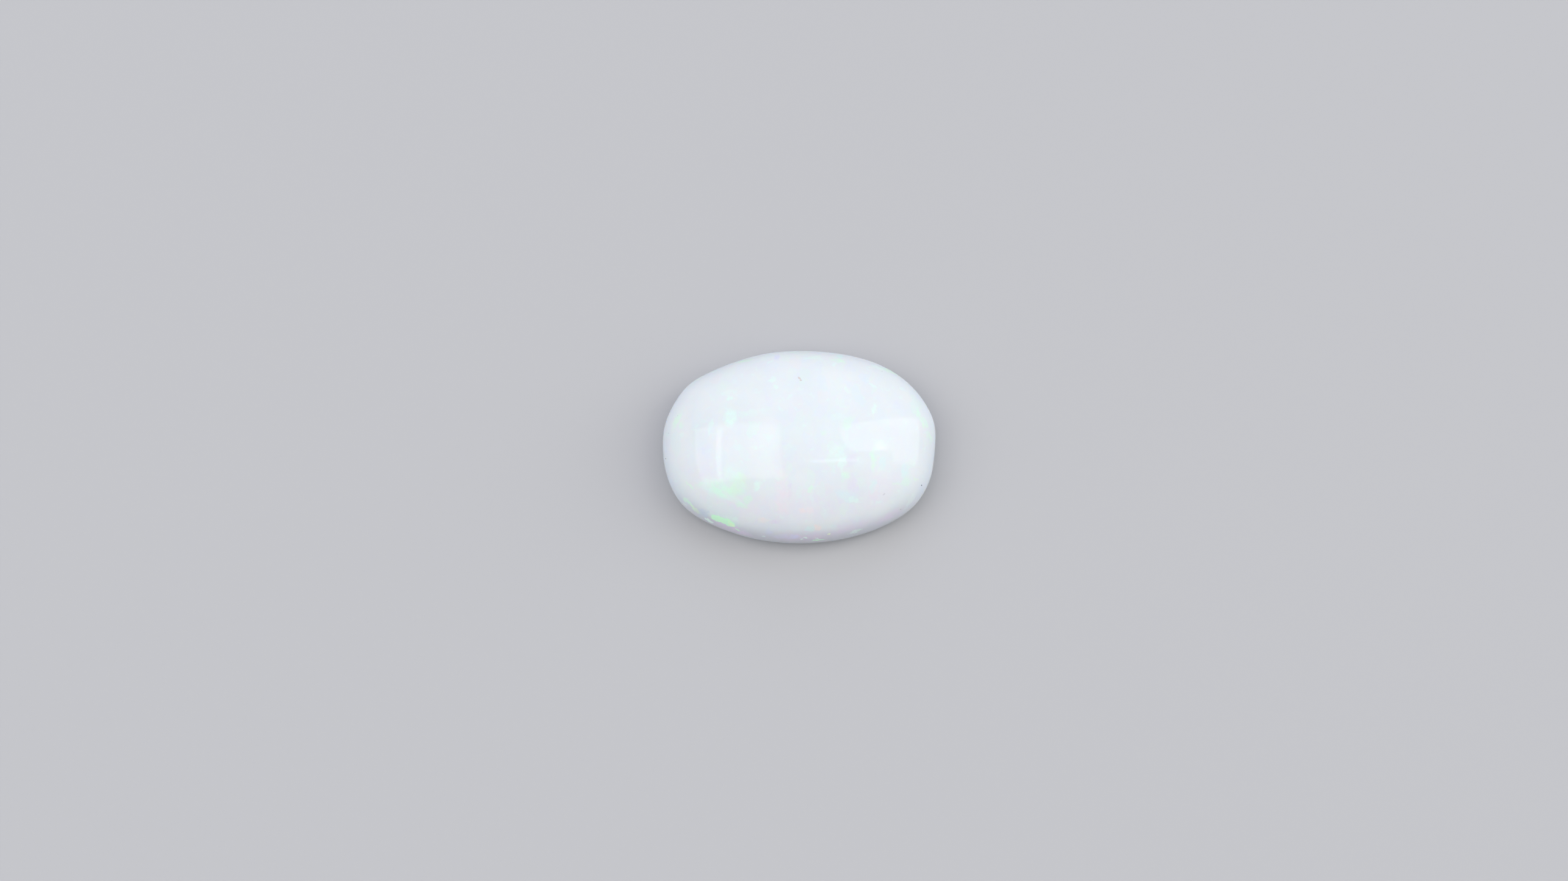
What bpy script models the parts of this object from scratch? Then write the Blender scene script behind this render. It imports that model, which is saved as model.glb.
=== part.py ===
"""White opal cabochon: one polished oval stone with a domed face and a flat, lapped back.

Metres, +Z up. The stone lies on its back, its length along X and its width along Y. The
origin is under the middle of its bounding box, in the plane that the back rests on.
"""

import math
from dataclasses import dataclass

import bmesh
import bpy

# Sizes over all, as calipers read them.
LENGTH = 0.0180
WIDTH = 0.0130
HEIGHT = 0.0055

# The girdle is the stone's widest line. The dome stands on it, and below it a rounded bevel
# runs in to the flat back.
GIRDLE_HEIGHT = 0.0012
BEVEL_INSET = 0.0006

# An ellipse has the exponent 2. The oval is a little fuller, and the dome is an ellipse.
OVAL_EXPONENT = 2.23
DOME_EXPONENT = 2.0

# How finely the faces follow the curves. The crown, the middle of the dome, is a grid that is
# squeezed towards a round, and it ends at CROWN_REACH of the way to the girdle. Rings of
# faces run on from its rim.
CROWN_CELLS = 24
CROWN_REACH = 0.5
CROWN_SQUEEZE = 0.3
DOME_RINGS = 10
BEVEL_RINGS = 4

# Milky white opal with a bluish cast (linear RGB and alpha), polished all over its dome.
OPAL_COLOUR = (0.80, 0.84, 0.88, 1.0)
POLISH_ROUGHNESS = 0.08


@dataclass(frozen=True)
class HandCut:
    """A place where the outline strays from a true oval, as a stone shaped by hand does.

    The angle runs counter-clockwise from +X and the spread is half its width, in degrees.
    The depth is in metres, and is negative where the outline is flatter than the oval.
    """

    angle: float
    spread: float
    depth: float


HAND_CUTS = (
    HandCut(angle=10, spread=5, depth=0.00006),
    HandCut(angle=45, spread=12, depth=0.00005),
    HandCut(angle=130, spread=13, depth=-0.00017),
    HandCut(angle=150, spread=5, depth=0.00009),
    HandCut(angle=173, spread=6, depth=0.00004),
    HandCut(angle=208, spread=9, depth=0.00014),
    HandCut(angle=229, spread=8, depth=-0.00005),
    HandCut(angle=268, spread=9, depth=0.00004),
    HandCut(angle=308, spread=12, depth=-0.00005),
    HandCut(angle=331, spread=6, depth=0.00005),
    HandCut(angle=355, spread=7, depth=-0.00011),
)


def angle_between(first, second):
    """Return the angle between two headings in degrees, from 0 to 180."""
    return abs((first - second + 180) % 360 - 180)


def oval(heading):
    """Return the outline's point before it is trimmed to size, for a unit heading (x, y)."""
    fullness = abs(heading[0]) ** OVAL_EXPONENT + abs(heading[1]) ** OVAL_EXPONENT
    reach = fullness ** (-1 / OVAL_EXPONENT)
    x = heading[0] * reach * LENGTH / 2
    y = heading[1] * reach * WIDTH / 2
    radius = math.hypot(x, y)
    degrees = math.degrees(math.atan2(y, x))
    stray = sum(
        cut.depth * math.exp(-0.5 * (angle_between(degrees, cut.angle) / cut.spread) ** 2)
        for cut in HAND_CUTS
    )
    return x * (1 + stray / radius), y * (1 + stray / radius)


def dome_height(share):
    """Return the dome's height above the back, at a share of the way out to the girdle."""
    rise = max(0.0, 1 - share ** DOME_EXPONENT) ** (1 / DOME_EXPONENT)
    return GIRDLE_HEIGHT + (HEIGHT - GIRDLE_HEIGHT) * rise


def squeezed_crown(bm):
    """Make the crown's grid over the middle of a unit circle."""
    bmesh.ops.create_grid(bm, x_segments=CROWN_CELLS, y_segments=CROWN_CELLS, size=1.0)
    for vert in bm.verts:
        across, up, _ = vert.co
        vert.co.x = CROWN_REACH * across * math.sqrt(1 - CROWN_SQUEEZE * up * up)
        vert.co.y = CROWN_REACH * up * math.sqrt(1 - CROWN_SQUEEZE * across * across)
        vert.co.z = dome_height(math.hypot(vert.co.x, vert.co.y))


def grown_ring(bm, rim):
    """Grow one ring of faces from the open rim, and return its outer edges and points."""
    grown = bmesh.ops.extrude_edge_only(bm, edges=rim)["geom"]
    edges = [item for item in grown if isinstance(item, bmesh.types.BMEdge)]
    points = [item for item in grown if isinstance(item, bmesh.types.BMVert)]
    return edges, points


def place(vert, share, height):
    """Move a point in or out along its heading to a share of the circle, and to a height."""
    stretch = share / math.hypot(vert.co.x, vert.co.y)
    vert.co.x *= stretch
    vert.co.y *= stretch
    vert.co.z = height


def unit_stone():
    """Return a bmesh of the stone over a unit circle, its heights already in metres."""
    bm = bmesh.new()
    squeezed_crown(bm)
    rim = [edge for edge in bm.edges if edge.is_boundary]
    for rings_left in range(DOME_RINGS, 0, -1):
        rim, points = grown_ring(bm, rim)
        for vert in points:
            turn = math.asin(min(1.0, math.hypot(vert.co.x, vert.co.y)))
            turn += (math.pi / 2 - turn) / rings_left
            place(vert, math.sin(turn), dome_height(math.sin(turn)))
    bevel_share = BEVEL_INSET / (WIDTH / 2)
    for ring in range(1, BEVEL_RINGS + 1):
        rim, points = grown_ring(bm, rim)
        turn = math.pi / 2 * ring / BEVEL_RINGS
        share = 1 - bevel_share * (1 - math.cos(turn))
        for vert in points:
            place(vert, share, GIRDLE_HEIGHT * (1 - math.sin(turn)))
    bmesh.ops.contextual_create(bm, geom=rim)
    bmesh.ops.recalc_face_normals(bm, faces=bm.faces)
    return bm


def cut_to_outline(bm):
    """Move the unit stone's points out to the oval, then trim and centre it to LENGTH by WIDTH."""
    for vert in bm.verts:
        share = math.hypot(vert.co.x, vert.co.y)
        if share > 0:
            x, y = oval((vert.co.x / share, vert.co.y / share))
            vert.co.x = x * share
            vert.co.y = y * share
    for axis, size in ((0, LENGTH), (1, WIDTH)):
        low = min(vert.co[axis] for vert in bm.verts)
        high = max(vert.co[axis] for vert in bm.verts)
        for vert in bm.verts:
            vert.co[axis] = (vert.co[axis] - (low + high) / 2) * size / (high - low)


def opal_material():
    """Return the stone's milky white, polished material."""
    material = bpy.data.materials.new("white_opal")
    material.use_nodes = True
    shader = material.node_tree.nodes["Principled BSDF"]
    shader.inputs["Base Color"].default_value = OPAL_COLOUR
    shader.inputs["Roughness"].default_value = POLISH_ROUGHNESS
    shader.inputs["Metallic"].default_value = 0.0
    return material


def make_stone():
    """Make the stone's object and return it."""
    bm = unit_stone()
    cut_to_outline(bm)
    mesh = bpy.data.meshes.new("opal_cabochon")
    bm.to_mesh(mesh)
    bm.free()
    mesh.materials.append(opal_material())
    mesh.shade_smooth()
    mesh.set_sharp_from_angle(angle=math.radians(50))
    stone = bpy.data.objects.new("opal_cabochon", mesh)
    bpy.context.scene.collection.objects.link(stone)
    return stone


def main():
    """Clear the scene and make the stone."""
    for item in list(bpy.data.objects):
        bpy.data.objects.remove(item, do_unlink=True)
    make_stone()


if __name__ == "__main__":
    main()
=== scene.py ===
"""A polished white opal cabochon in a plain studio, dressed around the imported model.

The stone is one piece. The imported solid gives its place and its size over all, and a finer
mesh of the same form stands for it here, with the marks that hand lapping leaves. Sizes are
in millimetres until a mesh or a light is made.
"""

import logging
import math
from collections.abc import Iterator
from dataclasses import dataclass, field
from enum import Enum

import bmesh
import bpy
from mathutils import Euler, Matrix, Vector, noise


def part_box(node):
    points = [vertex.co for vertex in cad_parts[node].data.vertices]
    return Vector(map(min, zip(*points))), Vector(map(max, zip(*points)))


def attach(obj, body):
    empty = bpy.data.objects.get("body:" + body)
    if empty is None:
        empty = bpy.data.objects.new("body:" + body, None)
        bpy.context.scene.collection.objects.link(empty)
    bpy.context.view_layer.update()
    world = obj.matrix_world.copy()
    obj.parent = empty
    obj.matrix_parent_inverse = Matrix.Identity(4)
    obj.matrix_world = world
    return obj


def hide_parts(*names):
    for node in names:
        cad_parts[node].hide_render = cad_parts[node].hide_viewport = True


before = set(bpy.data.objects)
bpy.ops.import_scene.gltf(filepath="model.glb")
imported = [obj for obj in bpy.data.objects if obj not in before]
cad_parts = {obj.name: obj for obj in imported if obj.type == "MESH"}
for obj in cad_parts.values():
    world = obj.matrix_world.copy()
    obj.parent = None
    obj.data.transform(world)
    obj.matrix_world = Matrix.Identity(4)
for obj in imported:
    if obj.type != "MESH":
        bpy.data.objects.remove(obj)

LOG = logging.getLogger("opal")

Tree = bpy.types.NodeTree
Socket = bpy.types.NodeSocket

STONE_NODE = "opal_cabochon"
MM = 0.001

# The sockets of a colour mix node, which share their names with its other kinds of value.
MIX_FACTOR, MIX_FIRST, MIX_SECOND, MIX_RESULT = 0, 6, 7, 2


def linear(hex_colour: str) -> tuple[float, float, float, float]:
    """Turn an sRGB colour into linear light.

    Args:
        hex_colour: the colour as #RRGGBB.

    Returns:
        Linear red, green and blue, and an alpha of 1.
    """
    shares = [int(hex_colour[i:i + 2], 16) / 255 for i in (1, 3, 5)]
    light = [s / 12.92 if s <= 0.04045 else ((s + 0.055) / 1.055) ** 2.4 for s in shares]
    return light[0], light[1], light[2], 1.0


def add(tree: Tree, kind: str, inputs: dict | None = None, **settings: object) -> bpy.types.Node:
    """Add a node with its settings and links.

    Args:
        tree: the node tree that takes the node.
        kind: the node's type.
        inputs: a value, or the output socket to link, for each input by name or number.
        settings: the node's own attributes.

    Returns:
        The new node.
    """
    node = tree.nodes.new(kind)
    for name, value in settings.items():
        setattr(node, name, value)
    for name, value in (inputs or {}).items():
        if isinstance(value, Socket):
            tree.links.new(value, node.inputs[name])
        else:
            node.inputs[name].default_value = value
    return node


@dataclass(frozen=True)
class PhotoView:
    """Where the photograph is taken from, and how its frame is filled.

    Distances are in millimetres and angles in degrees. The aim is a point inside the stone,
    straight above its origin.

    Attributes:
        elevation: how high the camera stands over the aim.
        azimuth: how far it has gone round the stone, from the front.
        distance: how far it is from the aim.
        aim_height: how high the aim lies.
        lens: the lens's focal length.
        sensor: the sensor's width.
        clip: the nearest and the farthest that the camera sees.
        frame_pixels: the photograph's width and height.
        aim_pixel: where the aim shows in it, from its upper left corner.
    """

    elevation: float = 74.0
    azimuth: float = 0.0
    distance: float = 286.8
    aim_height: float = 1.6
    lens: float = 100.0
    sensor: float = 36.0
    clip: tuple[float, float] = (10.0, 10000.0)
    frame_pixels: tuple[int, int] = (2576, 1448)
    aim_pixel: tuple[float, float] = (1313.0, 732.0)

    def axes(self) -> Matrix:
        """Return the view's axes as columns: right, up, and out towards the camera."""
        turned = Matrix.Rotation(math.radians(self.azimuth), 3, "Z")
        return turned @ Matrix.Rotation(math.radians(90 - self.elevation), 3, "X")

    def point(self, across: float, up: float, out: float) -> Vector:
        """Return the point at these distances from the aim, along the view's axes."""
        return Vector((0, 0, self.aim_height)) + self.axes() @ Vector((across, up, out))

    def make_camera(self) -> bpy.types.Object:
        """Make the camera, framed as the photograph is.

        Returns:
            The camera, which the scene now renders with.
        """
        data = bpy.data.cameras.new("photo_camera")
        data.lens = self.lens
        data.sensor_width = self.sensor
        data.dof.use_dof = False
        data.clip_start = self.clip[0] * MM
        data.clip_end = self.clip[1] * MM
        camera = bpy.data.objects.new("photo_camera", data)
        bpy.context.scene.collection.objects.link(camera)
        width, height = self.frame_pixels
        pixel = self.sensor / self.lens * self.distance / width
        across = (width / 2 - self.aim_pixel[0]) * pixel
        up = (self.aim_pixel[1] - height / 2) * pixel
        camera.location = self.point(across, up, self.distance) * MM
        camera.rotation_euler = self.axes().to_euler()
        bpy.context.scene.camera = camera
        return camera


PHOTO_VIEW = PhotoView()

# A view from behind, for placing what the photograph doesn't show.
BACK_VIEW = PhotoView(elevation=25.0, azimuth=180.0)


@dataclass(frozen=True)
class HandCut:
    """A place where the outline strays from a true oval, as a stone shaped by hand does.

    The angle runs counter-clockwise from +X and the spread is half its width, in degrees.
    The depth is in millimetres, and is negative where the outline is flatter than the oval.
    """

    angle: float
    spread: float
    depth: float

    def stray(self, heading: float) -> float:
        """Return how far the outline strays here, for a heading in degrees."""
        gap = abs((heading - self.angle + 180) % 360 - 180)
        return self.depth * math.exp(-0.5 * (gap / self.spread) ** 2)


@dataclass(frozen=True)
class Pit:
    """A pinhole in the polish: its place in the photograph's view, its radius and its depth.

    All four are in millimetres.
    """

    across: float
    up: float
    radius: float
    depth: float


HAND_CUTS = (
    HandCut(angle=10, spread=5, depth=0.06),
    HandCut(angle=45, spread=12, depth=0.05),
    HandCut(angle=130, spread=13, depth=-0.17),
    HandCut(angle=150, spread=5, depth=0.09),
    HandCut(angle=173, spread=6, depth=0.04),
    HandCut(angle=208, spread=9, depth=0.14),
    HandCut(angle=229, spread=8, depth=-0.05),
    HandCut(angle=268, spread=9, depth=0.04),
    HandCut(angle=308, spread=12, depth=-0.05),
    HandCut(angle=331, spread=6, depth=0.05),
    HandCut(angle=355, spread=7, depth=-0.11),
)

PITS = (
    Pit(across=-8.75, up=-0.85, radius=0.06, depth=0.025),
    Pit(across=-8.5, up=0.8, radius=0.05, depth=0.010),
    Pit(across=-7.9, up=1.9, radius=0.05, depth=0.010),
    Pit(across=8.0, up=-2.6, radius=0.06, depth=0.035),
    Pit(across=5.8, up=4.9, radius=0.05, depth=0.010),
    Pit(across=6.6, up=-4.2, radius=0.05, depth=0.015),
)


@dataclass
class Cabochon:
    """The stone: a dome on an oval girdle, a rounded bevel below it and a flat, lapped back.

    Lengths are in millimetres. The crown, the middle of the dome, is a grid that is squeezed
    towards a round, and rings of faces run on from its rim.

    Attributes:
        length: the stone's length over all.
        width: its width over all.
        height: its height over all.
        girdle_height: how high the girdle, its widest line, lies above the back.
        bevel_inset: how far the bevel runs in from the girdle to the back.
        oval_exponent: how full the oval is. An ellipse has 2.
        dome_exponent: how full the dome is, in the same way.
        crown_cells: how many faces the crown has from side to side.
        crown_reach: how far out the crown goes, as a share of the way to the girdle.
        crown_squeeze: how much the crown's corners are drawn in.
        dome_rings: how many rings of faces run from the crown to the girdle.
        bevel_rings: how many run from the girdle to the back.
        ripple_length: how far apart the waves are that hand lapping leaves.
        ripple_height: how high they are.
        pit_rounds: within how many of a pinhole's radii each round of finer faces reaches.
        pit_slope: how many of its radii a pinhole takes to come up to the polish.
        sight_step: how finely a line of sight is followed to the surface.
        hand_cuts: where the outline strays from the oval.
        pits: the pinholes.
    """

    length: float
    width: float
    height: float
    girdle_height: float = 1.2
    bevel_inset: float = 0.6
    oval_exponent: float = 2.23
    dome_exponent: float = 2.0
    crown_cells: int = 112
    crown_reach: float = 0.5
    crown_squeeze: float = 0.3
    dome_rings: int = 46
    bevel_rings: int = 12
    ripple_length: float = 3.2
    ripple_height: float = 0.012
    pit_rounds: tuple[float, ...] = (4.0, 2.5)
    pit_slope: float = 1.5
    sight_step: float = 0.02
    hand_cuts: tuple[HandCut, ...] = HAND_CUTS
    pits: tuple[Pit, ...] = PITS

    def oval(self, across: float, up: float) -> tuple[float, float]:
        """Return the outline's point, before trimming.

        Args:
            across: the heading's part along X, on the unit circle.
            up: its part along Y.

        Returns:
            The point's X and Y.
        """
        power = self.oval_exponent
        reach = (abs(across) ** power + abs(up) ** power) ** (-1 / power)
        x = across * reach * self.length / 2
        y = up * reach * self.width / 2
        radius = math.hypot(x, y)
        heading = math.degrees(math.atan2(y, x))
        stray = sum(cut.stray(heading) for cut in self.hand_cuts)
        return x * (1 + stray / radius), y * (1 + stray / radius)

    def share(self, x: float, y: float) -> float:
        """Return how far out a point of the plan lies.

        Args:
            x: the point's X.
            y: its Y.

        Returns:
            The share of the way to the girdle.
        """
        power = self.oval_exponent
        lengthwise = abs(2 * x / self.length) ** power
        return (lengthwise + abs(2 * y / self.width) ** power) ** (1 / power)

    def dome_height(self, share: float) -> float:
        """Return the dome's height above the back at a share of the way out."""
        rise = max(0.0, 1 - share ** self.dome_exponent) ** (1 / self.dome_exponent)
        return self.girdle_height + (self.height - self.girdle_height) * rise

    def holds(self, point: Vector) -> bool:
        """Tell whether a point is inside the stone's smooth form.

        Args:
            point: the point, in the stone's own axes.

        Returns:
            Whether the form holds it.
        """
        share = self.share(point.x, point.y)
        if share >= 1 or not 0 <= point.z <= self.dome_height(share):
            return False
        bevel = self.bevel_inset / (self.width / 2)
        past = max(0.0, (share - 1 + bevel) / bevel)
        return point.z >= self.girdle_height * (1 - math.sqrt(1 - past * past))

    def seen_at(self, across: float, up: float, view: PhotoView = PHOTO_VIEW) -> Vector:
        """Return the surface point that a view shows.

        Args:
            across: millimetres to the right of the aim, in the view.
            up: millimetres above the aim, in the view.
            view: the view, which is the photograph's unless another is given.

        Returns:
            The first point of the stone on that line of sight.
        """
        out = self.length / 2
        while out > -self.length / 2 and not self.holds(view.point(across, up, out)):
            out -= self.sight_step
        return view.point(across, up, out)

    @staticmethod
    def grow(bm: bmesh.types.BMesh, rim: list) -> tuple[list, list]:
        """Grow one ring of faces from an open rim.

        Args:
            bm: the mesh.
            rim: the rim's edges.

        Returns:
            The ring's outer edges, and its points.
        """
        grown = bmesh.ops.extrude_edge_only(bm, edges=rim)["geom"]
        edges = [item for item in grown if isinstance(item, bmesh.types.BMEdge)]
        points = [item for item in grown if isinstance(item, bmesh.types.BMVert)]
        return edges, points

    @staticmethod
    def place(vert: bmesh.types.BMVert, share: float, height: float) -> None:
        """Move a point in or out along its heading to a share of the circle, and to a height."""
        stretch = share / math.hypot(vert.co.x, vert.co.y)
        vert.co = (vert.co.x * stretch, vert.co.y * stretch, height)

    def over_unit_circle(self) -> bmesh.types.BMesh:
        """Make the stone's faces over a unit circle, with their heights in millimetres.

        Returns:
            The mesh.
        """
        bm = bmesh.new()
        bmesh.ops.create_grid(bm, x_segments=self.crown_cells, y_segments=self.crown_cells, size=1.0)
        for vert in bm.verts:
            across, up, _ = vert.co
            x = self.crown_reach * across * math.sqrt(1 - self.crown_squeeze * up * up)
            y = self.crown_reach * up * math.sqrt(1 - self.crown_squeeze * across * across)
            vert.co = (x, y, self.dome_height(math.hypot(x, y)))
        rim = [edge for edge in bm.edges if edge.is_boundary]
        for rings_left in range(self.dome_rings, 0, -1):
            rim, points = self.grow(bm, rim)
            for vert in points:
                turn = math.asin(min(1.0, math.hypot(vert.co.x, vert.co.y)))
                turn += (math.pi / 2 - turn) / rings_left
                self.place(vert, math.sin(turn), self.dome_height(math.sin(turn)))
        bevel = self.bevel_inset / (self.width / 2)
        for ring in range(1, self.bevel_rings + 1):
            rim, points = self.grow(bm, rim)
            turn = math.pi / 2 * ring / self.bevel_rings
            height = self.girdle_height * (1 - math.sin(turn))
            for vert in points:
                self.place(vert, 1 - bevel * (1 - math.cos(turn)), height)
        bmesh.ops.contextual_create(bm, geom=rim)
        bmesh.ops.recalc_face_normals(bm, faces=bm.faces)
        return self.in_order(bm)

    @staticmethod
    def in_order(bm: bmesh.types.BMesh) -> bmesh.types.BMesh:
        """Make a mesh again with its faces in the order of their points.

        Growing the rings leaves faces and edges in an order that differs from run to run, and
        the finer faces round the pinholes would then be cut differently each time.

        Args:
            bm: the mesh, which is freed.

        Returns:
            The mesh in order.
        """
        bm.verts.index_update()
        faces = []
        for face in bm.faces:
            numbers = [vert.index for vert in face.verts]
            first = numbers.index(min(numbers))
            faces.append(numbers[first:] + numbers[:first])
        ordered = bmesh.new()
        points = [ordered.verts.new(vert.co) for vert in bm.verts]
        for numbers in sorted(faces):
            ordered.faces.new([points[number] for number in numbers])
        bm.free()
        return ordered

    def cut_to_outline(self, bm: bmesh.types.BMesh) -> None:
        """Move the points out from the unit circle to the oval.

        Args:
            bm: the stone's mesh.
        """
        for vert in bm.verts:
            share = math.hypot(vert.co.x, vert.co.y)
            if share > 0:
                x, y = self.oval(vert.co.x / share, vert.co.y / share)
                vert.co.x = x * share
                vert.co.y = y * share

    def ripple(self, bm: bmesh.types.BMesh) -> None:
        """Lower the dome here and there by a hair, as hand lapping leaves it.

        The softboxes' edges bend in the polish over these ripples. They fade out at the girdle.

        Args:
            bm: the stone's mesh.
        """
        for vert in bm.verts:
            if vert.co.z > self.girdle_height:
                place = Vector((vert.co.x, vert.co.y, 0.0)) / self.ripple_length
                depth = self.ripple_height * (1 + noise.noise(place)) / 2
                fade = min(1.0, (vert.co.z - self.girdle_height) / self.girdle_height)
                vert.co.z -= depth * fade

    def sink_pits(self, bm: bmesh.types.BMesh) -> None:
        """Refine the faces round each pinhole and press it in.

        Args:
            bm: the stone's mesh.
        """
        for pit in self.pits:
            middle = self.seen_at(pit.across, pit.up)
            for radii in self.pit_rounds:
                reach = radii * pit.radius
                near = [edge for edge in bm.edges if (edge.verts[0].co - middle).length < reach]
                bmesh.ops.subdivide_edges(bm, edges=near, cuts=1, use_grid_fill=True)
            bm.normal_update()
            for vert in bm.verts:
                gap = (vert.co - middle).length / pit.radius
                if gap < self.pit_slope:
                    vert.co -= vert.normal * pit.depth * (1 - gap / self.pit_slope) ** 2

    @staticmethod
    def trim(bm: bmesh.types.BMesh, low: Vector, high: Vector) -> None:
        """Fit the points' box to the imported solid's.

        Args:
            bm: the stone's mesh.
            low: the solid's lowest corner.
            high: its highest corner.
        """
        for axis in range(3):
            least = min(vert.co[axis] for vert in bm.verts)
            most = max(vert.co[axis] for vert in bm.verts)
            stretch = (high[axis] - low[axis]) / (most - least)
            for vert in bm.verts:
                vert.co[axis] = low[axis] + (vert.co[axis] - least) * stretch

    def make(self, low: Vector, high: Vector, finish: bpy.types.Material) -> bpy.types.Object:
        """Make the stone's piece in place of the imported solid.

        Args:
            low: the solid's lowest corner, in millimetres.
            high: its highest corner.
            finish: the material it wears.

        Returns:
            The new piece.
        """
        bm = self.over_unit_circle()
        self.cut_to_outline(bm)
        self.trim(bm, low, high)
        self.ripple(bm)
        self.sink_pits(bm)
        self.trim(bm, low, high)
        bmesh.ops.scale(bm, vec=(MM, MM, MM), verts=bm.verts)
        mesh = bpy.data.meshes.new("white_opal_stone")
        bm.to_mesh(mesh)
        bm.free()
        mesh.materials.append(finish)
        mesh.shade_smooth()
        piece = bpy.data.objects.new("white_opal_stone", mesh)
        bpy.context.scene.collection.objects.link(piece)
        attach(piece, "root")
        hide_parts(STONE_NODE)
        return piece


class Hue(str, Enum):
    """The colours that the stone's play of colour shows, as #RRGGBB."""

    MINT = "#D8ECE8"
    GREEN = "#CAF6D6"
    YELLOW_GREEN = "#D3F3CC"
    LIME = "#E9F8CC"
    TEAL = "#CFE9E8"
    BLUE = "#CCD3F2"
    MAUVE = "#DACCE4"
    PINK = "#E8DCE3"
    CORAL = "#F2DED9"
    SHADE = "#BCCCDF"


class Edge(Enum):
    """How a patch of colour ends: the share of its size over which it fades."""

    CRISP = 0.4
    SOFT = 0.9
    HAZY = 1.6


@dataclass(frozen=True)
class Mark:
    """A coloured mark in the stone, placed as a view shows it.

    Attributes:
        across: millimetres right of the stone's middle.
        up: millimetres above it.
        size: its length and width in millimetres.
        turn: how far its length is turned counter-clockwise, in degrees.
        colour: its colour as #RRGGBB.
        strength: how much of its colour shows, from 0 to 1.
        view: the view that its place is given in.
    """

    across: float
    up: float
    size: tuple[float, float]
    turn: float
    colour: str
    strength: float
    view: PhotoView = field(default=PHOTO_VIEW, kw_only=True)

    def middle(self, stone: Cabochon) -> Vector:
        """Return the point of a stone's surface where the mark lies."""
        return stone.seen_at(self.across, self.up, self.view)

    def turned(self) -> Euler:
        """Return how the mark's length, width and depth are turned in the stone."""
        turn = Matrix.Rotation(math.radians(self.turn), 3, "Z")
        return (self.view.axes() @ turn).to_euler()


@dataclass(frozen=True)
class Flash(Mark):
    """One patch of play of colour.

    Attributes:
        edge: how it ends.
        squared: whether it is a bar with square ends, and not an oval.
    """

    edge: Edge = Edge.SOFT
    squared: bool = False


@dataclass(frozen=True)
class Speck(Mark):
    """A small spot of colour under the polish. Some are inclusions, and the grey ones at the pinholes
    make the holes darker.
    """


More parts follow.
